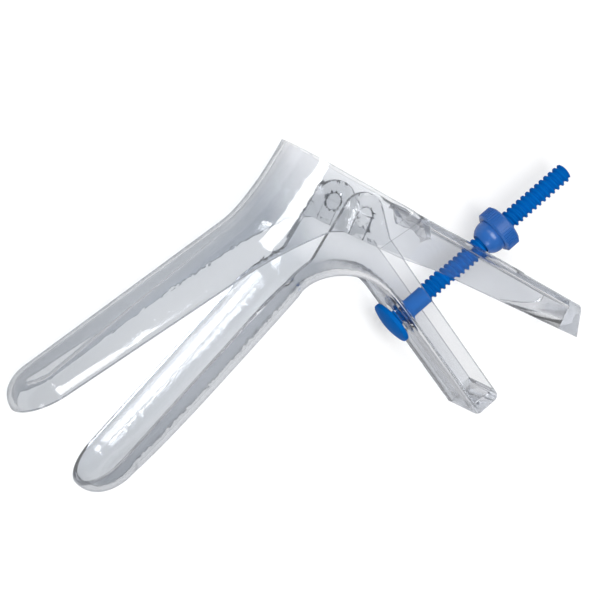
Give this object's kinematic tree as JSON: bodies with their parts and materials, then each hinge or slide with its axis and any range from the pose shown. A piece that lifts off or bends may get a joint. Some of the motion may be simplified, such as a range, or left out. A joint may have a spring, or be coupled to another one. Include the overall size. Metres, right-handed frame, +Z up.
{
  "type": "bivalve speculum",
  "caption": "Clear plastic bivalve speculum lying on its side: hinged duck-bill valves with channel handles, held open by a screw and nut.",
  "frame": {"origin": "centre of the bounding box's underside, where the speculum lies on its side", "axes": "+X along the screw from the lower handle to the upper handle, -X towards the bill tips; -Y towards the handle ends; +Z up, along the hinge axis"},
  "size_m": [0.183, 0.1076, 0.0272],
  "materials": {
    "clear_plastic": "clear moulded plastic with a polished surface",
    "blue_plastic": "opaque blue moulded plastic, slightly glossy"
  },
  "bodies": {
    "lower_valve": {"lower_valve": "clear_plastic"},
    "upper_valve": {"upper_valve": "clear_plastic"},
    "screw": {"screw": "blue_plastic"},
    "nut": {"nut": "blue_plastic"}
  },
  "joints": [
    {"name": "bill_hinge", "type": "hinge", "parent": "lower_valve", "child": "upper_valve", "pos_m": [0.02873, 0.02427, 0.0136], "axis": [0, 0, 1], "range_deg": [-20, 15.1]},
    {"name": "screw_swivel", "type": "hinge", "parent": "lower_valve", "child": "screw", "pos_m": [0.02198, -0.01453, 0.0136], "axis": [0, 0, 1], "range_deg": [-7.4, 5.6]},
    {"name": "nut_travel", "type": "slide", "parent": "screw", "child": "nut", "axis": [1, 0, 0], "range_m": [-0.016, 0.0121]}
  ],
  "couplings": [
    {"joint": "screw_swivel", "follows": "bill_hinge", "ratio": 0.36},
    {"joint": "nut_travel", "follows": "bill_hinge", "m_per_rad": 0.0453}
  ]
}
